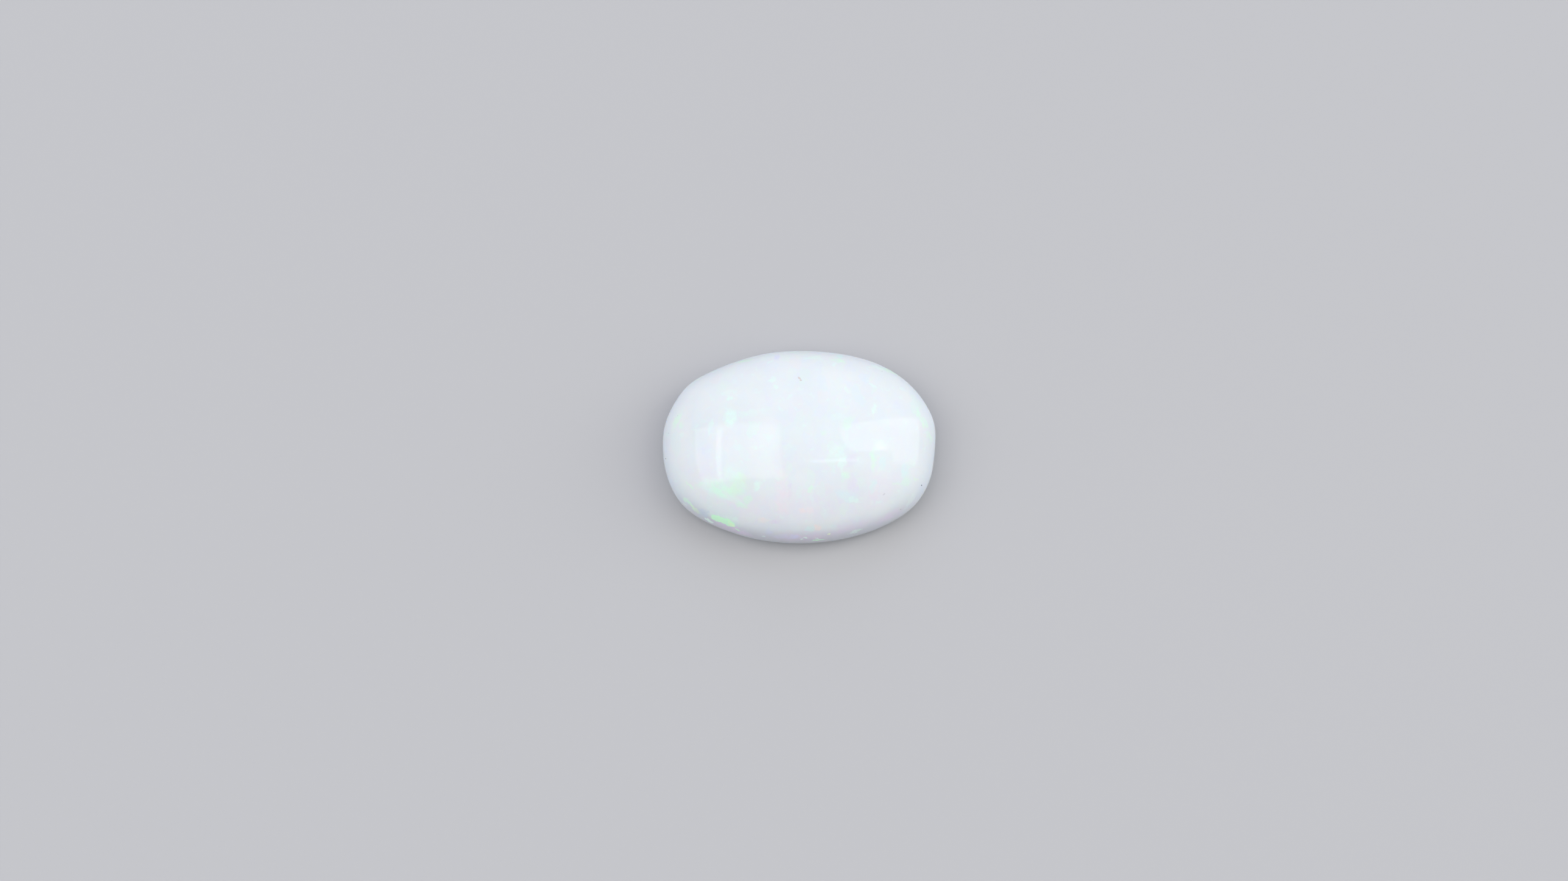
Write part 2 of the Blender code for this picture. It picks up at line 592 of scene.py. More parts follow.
FLASHES = (
    # Hazy veils, columns and bands on the front of the dome.
    Flash(-3.20, -4.20, (4.2, 2.2), -8, Hue.MAUVE, 0.20, Edge.HAZY),
    Flash(-6.30, -2.10, (2.2, 2.0), -60, Hue.MAUVE, 0.18, Edge.HAZY),
    Flash(1.20, -4.00, (4.4, 2.4), 0, Hue.MAUVE, 0.22, Edge.HAZY),
    Flash(4.90, -3.10, (3.2, 2.4), 20, Hue.MAUVE, 0.20, Edge.HAZY),
    Flash(-0.90, -0.90, (2.6, 1.8), 80, Hue.MAUVE, 0.12, Edge.HAZY),
    Flash(-1.05, -3.20, (3.0, 0.9), 90, Hue.PINK, 0.42),
    Flash(-0.60, -2.90, (1.4, 0.3), 90, Hue.MAUVE, 0.30),
    Flash(3.35, -0.80, (1.2, 0.7), 90, Hue.MAUVE, 0.22),
    Flash(3.42, -2.60, (1.9, 0.55), 90, Hue.MAUVE, 0.28),
    Flash(3.40, -5.30, (2.2, 0.8), 13, Hue.MAUVE, 0.50, Edge.HAZY),
    Flash(5.90, -4.65, (2.0, 0.6), 24, Hue.MAUVE, 0.42, Edge.HAZY),
    Flash(0.20, -5.95, (4.2, 0.7), 2, Hue.MAUVE, 0.45, Edge.HAZY),
    Flash(-4.40, -5.50, (2.6, 0.6), -22, Hue.MAUVE, 0.60),
    Flash(-1.33, -5.93, (1.1, 0.25), -4, Hue.BLUE, 0.35),
    Flash(-0.30, -6.00, (0.8, 0.25), 0, Hue.BLUE, 0.45),
    Flash(-2.00, -5.60, (0.4, 0.4), 0, Hue.BLUE, 0.25),
    Flash(6.50, 2.40, (0.9, 0.7), 90, Hue.BLUE, 0.14),
    Flash(-6.20, -0.40, (1.3, 1.0), 80, Hue.BLUE, 0.20, Edge.HAZY),
    # The large patch left of the middle: green, with a yellow core, and the small one beside it.
    Flash(-4.35, -1.85, (1.5, 1.2), 55, Hue.MINT, 0.45),
    Flash(-5.30, -2.80, (1.9, 1.1), -14, Hue.MINT, 0.62),
    Flash(-6.05, -2.55, (1.1, 0.6), -10, Hue.MINT, 0.42),
    Flash(-5.05, -2.90, (1.7, 0.9), -16, Hue.GREEN, 0.29),
    Flash(-4.05, -2.75, (1.5, 1.2), 86, Hue.GREEN, 0.22),
    Flash(-4.05, -2.70, (0.9, 0.6), 86, Hue.YELLOW_GREEN, 0.15),
    Flash(-3.66, -2.05, (0.8, 0.5), -58, Hue.YELLOW_GREEN, 0.20),
    Flash(-4.30, -3.50, (1.4, 0.4), -24, Hue.MINT, 0.45),
    Flash(-3.74, -3.90, (0.8, 0.3), -16, Hue.GREEN, 0.36),
    Flash(-3.40, -3.55, (0.6, 0.5), 75, Hue.GREEN, 0.30),
    Flash(-2.82, -2.65, (0.7, 0.5), 75, Hue.MINT, 0.75),
    # Streaks along the lower left shoulder, with the gap between them.
    Flash(-7.13, -2.66, (0.85, 0.14), -42, Hue.GREEN, 0.36),
    Flash(-6.52, -2.52, (0.8, 0.3), 22, Hue.GREEN, 0.25),
    Flash(-7.20, -3.75, (1.1, 0.30), -44, Hue.GREEN, 0.50),
    Flash(-6.80, -4.15, (0.9, 0.30), -44, Hue.YELLOW_GREEN, 0.52),
    Flash(-7.49, -3.82, (0.4, 0.12), -45, Hue.MINT, 0.60),
    Flash(-6.24, -4.47, (0.6, 0.6), -20, Hue.SHADE, 0.55, squared=True),
    Flash(-4.35, -4.90, (1.0, 0.4), -26, Hue.MINT, 0.55),
    Flash(-5.10, -4.82, (2.0, 0.44), -20, Hue.MINT, 0.45),
    Flash(-4.98, -4.92, (1.65, 0.38), -20, Hue.GREEN, 0.95, Edge.CRISP, squared=True),
    Flash(-4.80, -4.98, (1.2, 0.30), -20, Hue.GREEN, 0.75),
    Flash(-4.44, -5.13, (0.45, 0.22), -12, Hue.LIME, 0.65),
    Flash(-5.92, -4.95, (0.72, 0.17), -27, Hue.MINT, 0.95, Edge.CRISP),
    Flash(-4.07, -5.52, (0.45, 0.14), -26, Hue.GREEN, 0.75, Edge.CRISP),
    # Small patches on the upper left and along the left edge.
    Flash(-4.51, 1.81, (1.1, 0.75), 84, Hue.MINT, 0.95),
    Flash(-4.52, 3.10, (0.45, 0.28), 0, Hue.MINT, 0.80),
    Flash(-4.67, 3.46, (0.8, 0.4), 10, Hue.MINT, 0.35),
    Flash(-4.31, 4.19, (0.5, 0.35), 90, Hue.MINT, 0.45),
    Flash(-2.01, 5.52, (0.55, 0.22), 45, Hue.MINT, 0.80),
    Flash(-1.81, 4.31, (0.6, 0.25), 12, Hue.MINT, 0.60),
    Flash(-1.57, 3.86, (0.28, 0.25), 0, Hue.MINT, 0.60),
    Flash(-6.84, 4.20, (0.9, 0.3), 38, Hue.GREEN, 0.22),
    Flash(-8.05, 1.61, (1.2, 0.40), 66, Hue.GREEN, 0.33),
    Flash(-7.69, 1.29, (0.6, 0.25), 55, Hue.GREEN, 0.22),
    Flash(-5.80, 1.21, (1.2, 0.26), 76, Hue.MINT, 0.65),
    Flash(-3.22, 2.09, (1.0, 0.45), 15, Hue.MINT, 0.30),
    Flash(-1.21, 2.42, (0.6, 0.18), 105, Hue.MINT, 0.50),
    Flash(-2.05, 0.48, (0.6, 0.45), 90, Hue.MINT, 0.30),
    Flash(-4.03, -0.12, (0.6, 0.5), 0, Hue.MINT, 0.25),
    # Patches on the right half.
    Flash(2.50, 5.56, (1.0, 0.24), -8, Hue.GREEN, 0.41),
    Flash(2.35, 5.30, (0.3, 0.3), 0, Hue.MINT, 0.60),
    Flash(1.21, 5.72, (0.9, 0.3), 0, Hue.MINT, 0.35),
    Flash(3.18, 3.58, (0.5, 0.3), 90, Hue.MINT, 0.65),
    Flash(4.75, 3.90, (0.3, 0.22), -40, Hue.MINT, 0.60),
    Flash(4.87, 2.38, (0.65, 0.32), 88, Hue.MINT, 0.95),
    Flash(3.14, 1.41, (1.0, 0.65), 42, Hue.GREEN, 0.25),
    Flash(2.38, 1.89, (1.3, 0.5), 0, Hue.MINT, 0.25),
    Flash(1.53, 0.81, (0.4, 0.3), 30, Hue.GREEN, 0.19),
    Flash(7.77, 2.21, (0.8, 0.35), 80, Hue.GREEN, 0.25),
    Flash(8.13, 1.53, (0.75, 0.45), -52, Hue.GREEN, 0.33),
    Flash(8.53, 0.60, (0.85, 0.32), -66, Hue.GREEN, 0.28),
    Flash(2.74, -0.80, (1.7, 0.4), 92, Hue.MINT, 0.60),
    Flash(2.20, -0.30, (0.9, 0.3), 38, Hue.MINT, 0.35),
    Flash(2.94, -1.97, (0.7, 0.55), 30, Hue.GREEN, 0.36),
    Flash(4.79, -0.97, (1.4, 0.36), 92, Hue.GREEN, 0.22),
    Flash(4.79, -0.95, (0.9, 0.2), 92, Hue.YELLOW_GREEN, 0.12),
    Flash(5.40, -1.10, (0.9, 0.4), 90, Hue.TEAL, 0.40),
    Flash(0.76, -2.94, (0.55, 0.32), 66, Hue.GREEN, 0.33),
    Flash(0.85, -3.50, (0.7, 0.2), 85, Hue.MINT, 0.30),
    Flash(3.10, -3.30, (1.4, 0.8), -16, Hue.TEAL, 0.35),
    Flash(3.65, -3.62, (0.8, 0.25), -14, Hue.MINT, 0.55),
    Flash(4.80, -2.75, (0.9, 0.4), 90, Hue.TEAL, 0.40),
    Flash(6.96, -2.33, (0.7, 0.45), 30, Hue.GREEN, 0.18),
    Flash(6.32, -2.54, (1.0, 0.18), 4, Hue.GREEN, 0.22),
    Flash(7.61, -2.21, (0.25, 0.2), 0, Hue.YELLOW_GREEN, 0.25),
    Flash(6.88, -1.65, (0.9, 0.5), 90, Hue.TEAL, 0.45),
    Flash(7.25, -3.62, (1.3, 0.28), 58, Hue.MINT, 0.40),
    Flash(5.15, -3.74, (0.6, 0.15), 6, Hue.MINT, 0.45),
    # Warm spots low on the front, on both sides of the shoulder.
    Flash(-2.33, -4.87, (0.8, 0.28), -10, Hue.CORAL, 0.30),
    Flash(-1.61, -4.99, (0.7, 0.35), 0, Hue.MAUVE, 0.35),
    Flash(0.12, -4.27, (0.4, 0.35), 0, Hue.CORAL, 0.30),
    Flash(0.60, -4.25, (0.5, 0.45), 0, Hue.PINK, 0.50),
    Flash(1.13, -5.43, (0.55, 0.32), -5, Hue.CORAL, 0.42),
    Flash(0.60, -5.52, (0.5, 0.35), 0, Hue.TEAL, 0.50),
    Flash(2.25, -5.30, (0.5, 0.4), 0, Hue.TEAL, 0.25),
    # Thin bright dashes close to the girdle.
    Flash(0.40, -6.04, (0.32, 0.11), -12, Hue.MINT, 0.90, Edge.CRISP),
    Flash(0.16, -6.16, (0.26, 0.08), 8, Hue.MINT, 0.80, Edge.CRISP),
    Flash(1.13, -6.04, (0.28, 0.08), -12, Hue.MINT, 0.90, Edge.CRISP),
    Flash(1.24, -6.18, (0.85, 0.13), 10, Hue.GREEN, 0.90, Edge.CRISP),
    Flash(1.93, -5.80, (0.24, 0.10), 12, Hue.LIME, 0.60, Edge.CRISP),
    Flash(3.66, -5.66, (1.1, 0.15), 14, Hue.MINT, 0.55),
    Flash(4.00, -5.58, (0.35, 0.16), 24, Hue.GREEN, 0.28),
    Flash(-2.30, -5.96, (0.2, 0.12), 10, Hue.MINT, 0.60, Edge.CRISP),
    # Patches on the far flank, which the photograph doesn't show.
    Flash(-6.10, -1.35, (1.5, 0.6), 24, Hue.GREEN, 0.45, view=BACK_VIEW),
    Flash(-5.20, -0.90, (0.9, 0.4), 10, Hue.MINT, 0.75, view=BACK_VIEW),
    Flash(-4.30, -2.10, (1.1, 0.3), -8, Hue.MINT, 0.60, view=BACK_VIEW),
    Flash(-2.70, -1.20, (0.7, 0.5), 70, Hue.TEAL, 0.60, view=BACK_VIEW),
    Flash(-1.60, -2.40, (1.6, 0.4), 4, Hue.MAUVE, 0.45, view=BACK_VIEW),
    Flash(-0.90, -0.65, (1.2, 0.5), 16, Hue.MINT, 0.55, view=BACK_VIEW),
    Flash(0.40, -1.65, (0.6, 0.35), 40, Hue.GREEN, 0.35, view=BACK_VIEW),
    Flash(1.50, -0.80, (0.9, 0.5), 80, Hue.BLUE, 0.40, view=BACK_VIEW),
    Flash(2.40, -2.30, (1.3, 0.3), -4, Hue.MINT, 0.55, view=BACK_VIEW),
    Flash(3.60, -1.25, (1.1, 0.6), -20, Hue.GREEN, 0.40, view=BACK_VIEW),
    Flash(3.90, -1.35, (0.5, 0.3), -20, Hue.YELLOW_GREEN, 0.35, view=BACK_VIEW),
    Flash(4.90, -2.15, (0.9, 0.3), -14, Hue.PINK, 0.50, view=BACK_VIEW),
    Flash(5.80, -1.30, (0.8, 0.4), -36, Hue.MINT, 0.70, view=BACK_VIEW),
    Flash(7.00, -1.90, (0.9, 0.3), -40, Hue.TEAL, 0.55, view=BACK_VIEW),
)

# The two reddish specks are one inclusion. The grey and dark specks at the pinholes make the holes
# darker.
SPECKS = (
    Speck(0.00, 4.40, (0.24, 0.12), -38, "#C4A29C", 0.45),
    Speck(0.10, 4.26, (0.14, 0.10), 0, "#C09890", 0.45),
    Speck(5.52, -3.18, (0.18, 0.09), 40, "#9EA0A8", 0.30),
    Speck(6.64, -4.19, (0.10, 0.07), 30, "#8C8E98", 0.30),
    Speck(5.45, 4.88, (0.08, 0.06), 0, "#8E9AA8", 0.40),
    Speck(8.01, -2.62, (0.08, 0.08), 0, "#4A4C54", 0.75),
    Speck(-8.78, -0.87, (0.07, 0.07), 0, "#62656E", 0.60),
    Speck(-8.57, 0.80, (0.06, 0.06), 0, "#A2AAB8", 0.40),
    Speck(-7.97, 1.95, (0.06, 0.05), 0, "#A2AAB8", 0.40),
)


@dataclass(frozen=True)
class OpalTree:
    """The opal's node tree, and what its layers of colour are drawn with.

    Attributes:
        tree: the node tree.
        stone: the stone, whose form says where each mark lies.
        place: the place in the stone, in millimetres.
        strayed: the place with a natural wander, so that patches end in uneven edges.
        nudged: the place with half that wander, for crisp patches.
        grain: how strongly the ordered spheres shine from spot to spot.
    """

    tree: Tree
    stone: Cabochon
    place: Socket
    strayed: Socket
    nudged: Socket
    grain: Socket


@dataclass(frozen=True)
class WhiteOpal:
    """Precious white opal, polished on the dome and left satin from the lap on the back.

    Tiny packed spheres of silica scatter light under the surface, so the stone looks like milk
    with a blue cast, glows softly at its thin edges and shows pastel patches where the spheres
    lie in order. The glow at the edge and the shade low on the sides and front are also painted
    into the colour. The polish over it reflects the room sharply. Opal's refractive index is 1.45.
    Lengths are in millimetres, and a pair gives where a change starts and where it ends.
    """

    # The milk has paler clouds in it.
    milk: str = "#D9DFE3"
    cloud: str = "#DDE2E5"
    cloud_size: float = 3.0
    cloud_levels: tuple[float, float] = (0.35, 0.65)

    # Ordered domains make a faint mosaic of pale hues. They are longer than they are wide.
    domain_hues: tuple[str, ...] = ("#D2E1EA", "#CFE8E2", "#DADCE8", "#D0E0EE", "#DFDCE4", "#D2E9E3")
    domain_levels: tuple[float, float] = (0.15, 0.85)
    domain_size: float = 0.75
    domain_squeeze: tuple[float, float, float] = (1.0, 0.6, 0.7)
    domain_strength: float = 0.32

    # Small, soft flecks of mint are scattered all through the stone.
    fleck_size: float = 0.5
    fleck_levels: tuple[float, float] = (0.58, 0.78)
    fleck_strength: float = 0.42

    # Painted shade: the colour turns greyer and bluer from one height down to the other, as shade and a
    # dark reflection on the steep lower sides.
    rim: str = "#B4C4DA"
    painted_shade_heights: tuple[float, float] = (3.4, 0.8)
    painted_shade_strength: float = 0.55

    # Painted glow: the thin edge is painted pale, for the light that comes through it. Its height is
    # taken along a line that leans with the photograph's view, so that the glow follows the outline seen
    # there.
    edge: str = "#F2F8FE"
    painted_glow_upright: tuple[float, float, float] = (0.0, -0.123, 1.0)
    painted_glow_heights: tuple[float, float] = (2.5, 0.9)
    painted_glow_strength: float = 0.60

    # Painted shade: the colour is painted darker and warmer along the front edge: far out, and towards
    # the front, as shares.
    front: str = "#B0A6AC"
    painted_front_shade_outward: tuple[float, float] = (0.83, 1.02)
    painted_front_shade_forward: tuple[float, float] = (-0.40, -0.90)
    painted_front_shade_strength: float = 0.44

    # A patch of colour is a round lump under the surface, deeper where it is wider. Its edges
    # wander, and it is made of small blocks and fibres.
    depth_at_least: float = 0.3
    depth_per_width: float = 1.2
    depth_at_most: float = 1.2
    wander: float = 0.22
    wander_size: float = 0.7
    block_size: float = 0.38
    fibre_size: float = 0.16
    fibre_squeeze: tuple[float, float, float] = (1.0, 0.3, 0.5)
    grain_levels: tuple[float, float] = (0.45, 1.45)
    grain_shine: tuple[float, float] = (0.55, 1.15)
    speck_fade: float = 0.8

    # The polish ends at the back, which is left satin.
    refractive_index: float = 1.45
    polish_roughness: float = 0.03
    lapped_roughness: float = 0.38
    lapped_heights: tuple[float, float] = (0.12, 0.02)
    scatter_depth: float = 0.9
    scatter_spread: tuple[float, float, float] = (1.3, 1.0, 0.75)

    def make(self, stone: Cabochon) -> bpy.types.Material:
        """Make the material.

        Args:
            stone: the stone that wears it, whose form says where each patch of colour lies.

        Returns:
            The new material.
        """
        material = bpy.data.materials.new("white_opal_polished")
        material.use_nodes = True
        tree = material.node_tree
        tree.nodes.clear()
        place = self.place_in_stone(tree)
        opal = OpalTree(
            tree=tree,
            stone=stone,
            place=place,
            strayed=self.strayed(tree, place, self.wander),
            nudged=self.strayed(tree, place, self.wander / 2),
            grain=self.grain(tree, place),
        )
        colour = self.domains(opal, self.milky(opal))
        for mask, hue in self.layers(opal):
            laid = add(tree, "ShaderNodeMix", {
                MIX_FACTOR: mask, MIX_FIRST: colour, MIX_SECOND: linear(hue),
            }, data_type="RGBA")
            colour = laid.outputs[MIX_RESULT]
        self.surface(opal, colour)
        return material

    def place_in_stone(self, tree: Tree) -> Socket:
        """Return the place in the stone, in millimetres.

        Args:
            tree: the material's node tree.

        Returns:
            The place's socket.
        """
        where = add(tree, "ShaderNodeTexCoord")
        scaled = add(tree, "ShaderNodeVectorMath", {
            0: where.outputs["Object"], "Scale": 1 / MM,
        }, operation="SCALE")
        return scaled.outputs[0]

    def strayed(self, tree: Tree, place: Socket, wander: float) -> Socket:
        """Return the place with a natural wander.

        Args:
            tree: the material's node tree.
            place: the place in the stone.
            wander: how far it strays, in millimetres.

        Returns:
            The strayed place's socket.
        """
        noisy = add(tree, "ShaderNodeTexNoise", {
            "Vector": place, "Scale": 1 / self.wander_size, "Detail": 5.0, "Roughness": 0.65,
        })
        centred = add(tree, "ShaderNodeVectorMath", {
            0: noisy.outputs["Color"], 1: (0.5, 0.5, 0.5),
        }, operation="SUBTRACT")
        # Noise seldom strays more than a quarter from its middle, so it is made four times larger.
        scaled = add(tree, "ShaderNodeVectorMath", {
            0: centred.outputs[0], "Scale": 4 * wander,
        }, operation="SCALE")
        moved = add(tree, "ShaderNodeVectorMath", {0: place, 1: scaled.outputs[0]}, operation="ADD")
        return moved.outputs[0]

    def grain(self, tree: Tree, place: Socket) -> Socket:
        """Return how strongly the ordered spheres shine from spot to spot.

        Args:
            tree: the material's node tree.
            place: the place in the stone.

        Returns:
            The shine's socket, which is 1 where a patch shows its full strength.
        """
        blocks = add(tree, "ShaderNodeTexVoronoi", {
            "Vector": place, "Scale": 1 / self.block_size, "Smoothness": 0.4,
        }, feature="SMOOTH_F1")
        pick = add(tree, "ShaderNodeSeparateColor", {"Color": blocks.outputs["Color"]})
        drawn = add(tree, "ShaderNodeMapping", {"Vector": place, "Scale": self.fibre_squeeze})
        fibres = add(tree, "ShaderNodeTexNoise", {
            "Vector": drawn.outputs[0], "Scale": 1 / self.fibre_size, "Detail": 2.0,
        })
        both = add(tree, "ShaderNodeMath", {
            0: pick.outputs[0], 1: fibres.outputs["Fac"],
        }, operation="ADD")
        shine = add(tree, "ShaderNodeMapRange", {
            "Value": both.outputs[0],
            "From Min": self.grain_levels[0], "From Max": self.grain_levels[1],
            "To Min": self.grain_shine[0], "To Max": self.grain_shine[1],
        }, interpolation_type="SMOOTHSTEP")
        return shine.outputs[0]

    def milky(self, opal: OpalTree) -> Socket:
        """Return the body colour: bluish milk with paler clouds in it.

        Args:
            opal: the opal's node tree.

        Returns:
            The colour's socket.
        """
        clouds = add(opal.tree, "ShaderNodeTexNoise", {
            "Vector": opal.place, "Scale": 1 / self.cloud_size, "Detail": 4.0,
        })
        thick = add(opal.tree, "ShaderNodeMapRange", {
            "Value": clouds.outputs["Fac"],
            "From Min": self.cloud_levels[0], "From Max": self.cloud_levels[1],
        }, interpolation_type="SMOOTHSTEP")
        body = add(opal.tree, "ShaderNodeMix", {
            MIX_FACTOR: thick.outputs[0],
            MIX_FIRST: linear(self.milk), MIX_SECOND: linear(self.cloud),
        }, data_type="RGBA")
        return body.outputs[MIX_RESULT]

    def domains(self, opal: OpalTree, colour: Socket) -> Socket:
        """Lay the faint mosaic of ordered domains over the milk, each with its own pale hue.

        Args:
            opal: the opal's node tree.
            colour: the milk's colour.

        Returns:
            The colour's socket with the mosaic in it.
        """
        tall = add(opal.tree, "ShaderNodeMapping", {
            "Vector": opal.strayed, "Scale": self.domain_squeeze,
        })
        cells = add(opal.tree, "ShaderNodeTexVoronoi", {
            "Vector": tall.outputs[0], "Scale": 1 / self.domain_size, "Smoothness": 0.35,
        }, feature="SMOOTH_F1")
        pick = add(opal.tree, "ShaderNodeSeparateColor", {"Color": cells.outputs["Color"]})
        ramp = add(opal.tree, "ShaderNodeValToRGB", {"Fac": pick.outputs[0]})
        steps = len(self.domain_hues)
        while len(ramp.color_ramp.elements) < steps:
            ramp.color_ramp.elements.new(1.0)
        first, last = self.domain_levels
        for number, (element, hue) in enumerate(zip(ramp.color_ramp.elements, self.domain_hues)):
            element.position = first + (last - first) * number / (steps - 1)
            element.color = linear(hue)
        amount = add(opal.tree, "ShaderNodeMath", {
            0: pick.outputs[1], 1: self.domain_strength,
        }, operation="MULTIPLY")
        tinted = add(opal.tree, "ShaderNodeMix", {
            MIX_FACTOR: amount.outputs[0], MIX_FIRST: colour, MIX_SECOND: ramp.outputs["Color"],
        }, data_type="RGBA")
        return tinted.outputs[MIX_RESULT]

    def layers(self, opal: OpalTree) -> Iterator[tuple[Socket, str]]:
        """Give the layers over the milk, from the lowest up.

        A layer's nodes are added when it is asked for, and it is laid before the next one is
        made. The renderer then holds only one mask at a time, and doesn't run out of room.

        Args:
            opal: the opal's node tree.

        Yields:
            The layer's mask, and its colour as #RRGGBB.
        """
        yield self.flecks(opal), Hue.MINT
        yield self.painted_rim_shade(opal), self.rim
        yield self.painted_edge_glow(opal), self.edge
        yield self.painted_front_shade(opal), self.front
        for flash in FLASHES:
            yield self.flash(opal, flash), flash.colour
        for speck in SPECKS:
            yield self.patch(opal, speck, opal.place, self.speck_fade), speck.colour

    def flecks(self, opal: OpalTree) -> Socket:
        """Return the mask of the small, soft flecks all through the stone.

        Args:
            opal: the opal's node tree.

        Returns:
            The mask's socket.
        """
        noisy = add(opal.tree, "ShaderNodeTexNoise", {
            "Vector": opal.strayed, "Scale": 1 / self.fleck_size, "Detail": 2.0,
        })
        lit = add(opal.tree, "ShaderNodeMapRange", {
            "Value": noisy.outputs["Fac"],
            "From Min": self.fleck_levels[0], "From Max": self.fleck_levels[1],
            "To Max": self.fleck_strength,
        }, interpolation_type="SMOOTHSTEP")
        return lit.outputs[0]

    def painted_rim_shade(self, opal: OpalTree) -> Socket:
        """Return the mask of the painted shade low on the stone, which turns it greyer and bluer.

        Args:
            opal: the opal's node tree.

        Returns:
            The mask's socket.
        """
        parts = add(opal.tree, "ShaderNodeSeparateXYZ", {"Vector": opal.place})
        low = add(opal.tree, "ShaderNodeMapRange", {
            "Value": parts.outputs["Z"],
            "From Min": self.painted_shade_heights[0], "From Max": self.painted_shade_heights[1],
            "To Max": self.painted_shade_strength,
        }, interpolation_type="SMOOTHSTEP")
        return low.outputs[0]

    def painted_edge_glow(self, opal: OpalTree) -> Socket:
        """Return the mask of the painted glow at the edge, for the light that comes through the stone.

        Args:
            opal: the opal's node tree.

        Returns:
            The mask's socket.
        """
        leaning = add(opal.tree, "ShaderNodeVectorMath", {
            0: opal.place, 1: self.painted_glow_upright,
        }, operation="DOT_PRODUCT")
        lit = add(opal.tree, "ShaderNodeMapRange", {
            "Value": leaning.outputs["Value"],
            "From Min": self.painted_glow_heights[0], "From Max": self.painted_glow_heights[1],
            "To Max": self.painted_glow_strength,
        }, interpolation_type="SMOOTHSTEP")
        return lit.outputs[0]

    def painted_front_shade(self, opal: OpalTree) -> Socket:
        """Return the mask of the painted shade, darker and warmer, along the front edge.

        Args:
            opal: the opal's node tree.

        Returns:
            The mask's socket.
        """
        half = (2 / opal.stone.length, 2 / opal.stone.width, 0.0)
        outward = add(opal.tree, "ShaderNodeVectorMath", {
            0: opal.place, 1: half,
        }, operation="MULTIPLY")
        parts = add(opal.tree, "ShaderNodeSeparateXYZ", {"Vector": outward.outputs[0]})
        ways = [add(opal.tree, "ShaderNodeMath", {0: parts.outputs[axis]}, operation="ABSOLUTE")
                for axis in ("X", "Y")]
        fuller = [add(opal.tree, "ShaderNodeMath", {
            0: way.outputs[0], 1: opal.stone.oval_exponent,
        }, operation="POWER") for way in ways]
        share = add(opal.tree, "ShaderNodeMath", {
            0: fuller[0].outputs[0], 1: fuller[1].outputs[0],
        }, operation="ADD")
        edge = add(opal.tree, "ShaderNodeMapRange", {
            "Value": share.outputs[0],
            "From Min": self.painted_front_shade_outward[0], "From Max": self.painted_front_shade_outward[1],
            "To Max": self.painted_front_shade_strength,
        }, interpolation_type="SMOOTHSTEP")
        front = add(opal.tree, "ShaderNodeMapRange", {
            "Value": parts.outputs["Y"],
            "From Min": self.painted_front_shade_forward[0], "From Max": self.painted_front_shade_forward[1],
        }, interpolation_type="SMOOTHSTEP")
        both = add(opal.tree, "ShaderNodeMath", {
            0: edge.outputs[0], 1: front.outputs[0],
        }, operation="MULTIPLY")
        return both.outputs[0]

    def flash(self, opal: OpalTree, flash: Flash) -> Socket:
        """Return a flash's mask. A crisp flash is evenly bright, and the others show the grain.

        Args:
            opal: the opal's node tree.
            flash: the patch of play of colour.

        Returns:
            The mask's socket.
        """
        shape = self.bar if flash.squared else self.patch
        if flash.edge is Edge.CRISP:
            return shape(opal, flash, opal.nudged, flash.edge.value)
        mask = shape(opal, flash, opal.strayed, flash.edge.value)
        grained = add(opal.tree, "ShaderNodeMath", {0: mask, 1: opal.grain}, operation="MULTIPLY")
        return grained.outputs[0]

    def patch(self, opal: OpalTree, mark: Mark, place: Socket, fade: float) -> Socket:
        """Return a mask that is full inside a round lump under the surface, and fades out.

        Args:
            opal: the opal's node tree.
            mark: the flash or speck.
            place: the place in the stone, strayed or not.
            fade: the share of the mark's size over which it fades.

        Returns:
            The mask's socket.
        """
        reach = 1 + fade / 2
        lump = add(opal.tree, "ShaderNodeTexGradient", {"Vector": place}, gradient_type="SPHERICAL")
        lump.texture_mapping.vector_type = "TEXTURE"
        lump.texture_mapping.translation = mark.middle(opal.stone)
        lump.texture_mapping.rotation = mark.turned()
        length, width = mark.size
        lump.texture_mapping.scale = (length / 2 * reach, width / 2 * reach, self.depth_of(mark))
        mask = add(opal.tree, "ShaderNodeMapRange", {
            "Value": lump.outputs["Fac"], "From Max": fade / reach, "To Max": mark.strength,
        }, interpolation_type="SMOOTHSTEP")
        return mask.outputs[0]

    def bar(self, opal: OpalTree, mark: Mark, place: Socket, fade: float) -> Socket:
        """Return a mask like patch's, but for a bar with square ends.

        Args:
            opal: the opal's node tree.
            mark: the flash or speck.
            place: the place in the stone, strayed or not.
            fade: the share of the mark's size over which it fades.

        Returns:
            The mask's socket.
        """
        inside = add(opal.tree, "ShaderNodeMapping", {
            "Vector": place, "Location": mark.middle(opal.stone), "Rotation": mark.turned(),
            "Scale": (mark.size[0] / 2, mark.size[1] / 2, self.depth_of(mark)),
        }, vector_type="TEXTURE")
        # The length of the squares keeps to a rounded box, where a plain length would make a ball.
        squares = add(opal.tree, "ShaderNodeVectorMath", {
            0: inside.outputs[0], 1: inside.outputs[0],
        }, operation="MULTIPLY")
        away = add(opal.tree, "ShaderNodeVectorMath", {0: squares.outputs[0]}, operation="LENGTH")
        mask = add(opal.tree, "ShaderNodeMapRange", {
            "Value": away.outputs["Value"], "From Min": 1 + fade / 2, "From Max": 1 - fade / 2,
            "To Max": mark.strength,
        }, interpolation_type="SMOOTHSTEP")
        return mask.outputs[0]

    def depth_of(self, mark: Mark) -> float:
        """Return how far a mark reaches into the stone, in millimetres."""
        return min(self.depth_at_most, self.depth_at_least + self.depth_per_width * mark.size[1])

